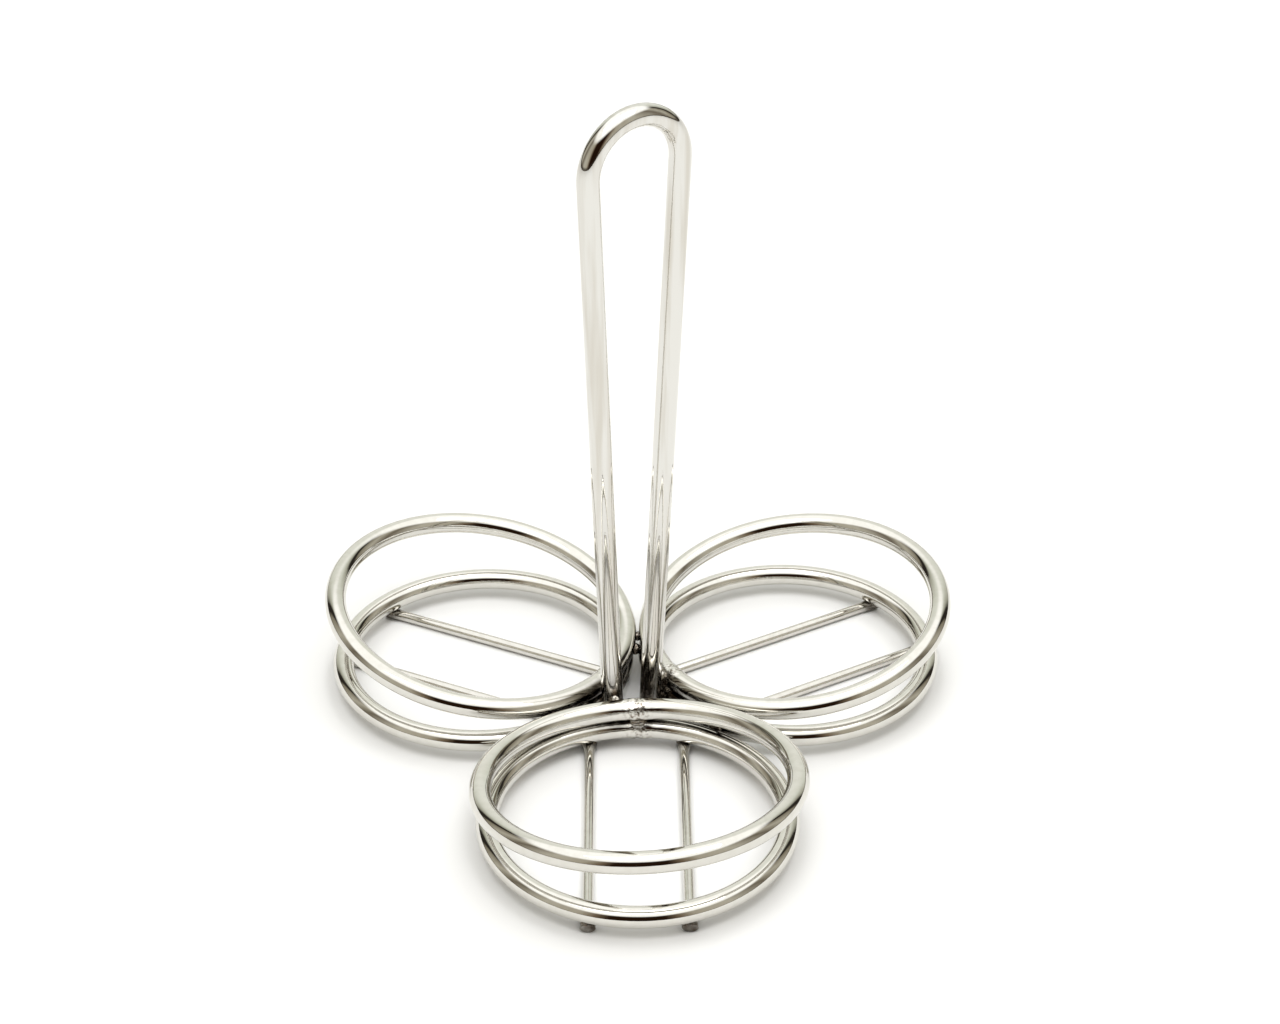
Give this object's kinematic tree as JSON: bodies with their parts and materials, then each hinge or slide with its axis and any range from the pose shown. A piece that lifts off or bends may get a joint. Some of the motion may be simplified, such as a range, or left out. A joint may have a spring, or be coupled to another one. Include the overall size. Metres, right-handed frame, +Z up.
{
  "type": "wire condiment caddy",
  "caption": "Low wire caddy with three round pockets, each a flat ring under a tilted wider ring, around a tall looped carrying handle.",
  "frame": {"origin": "on the table, at the point that the three pockets surround", "axes": "+Z up; +Y away from the front pocket; +X to the right when the front pocket is nearest"},
  "size_m": [0.1497, 0.1416, 0.159],
  "materials": {
    "ring_wire": "bright plating with fine scratches",
    "handle_wire": "bright plating",
    "floor_wire": "bright plating, duller at the ends",
    "weld": "plated over a rough weld bead, slightly brown"
  },
  "bodies": {
    "root": {"carrying_handle": "handle_wire", "lower_ring_front": "ring_wire", "lower_ring_right": "ring_wire", "lower_ring_left": "ring_wire", "upper_ring_front": "ring_wire", "upper_ring_right": "ring_wire", "upper_ring_left": "ring_wire", "floor_wire_front_a": "floor_wire", "floor_wire_front_b": "floor_wire", "floor_wire_right_a": "floor_wire", "floor_wire_right_b": "floor_wire", "floor_wire_left_a": "floor_wire", "floor_wire_left_b": "floor_wire", "stack_welds": "weld", "lower_ring_welds": "weld", "upper_ring_welds": "weld", "handle_welds": "weld", "floor_wire_welds": "weld"}
  },
  "joints": []
}
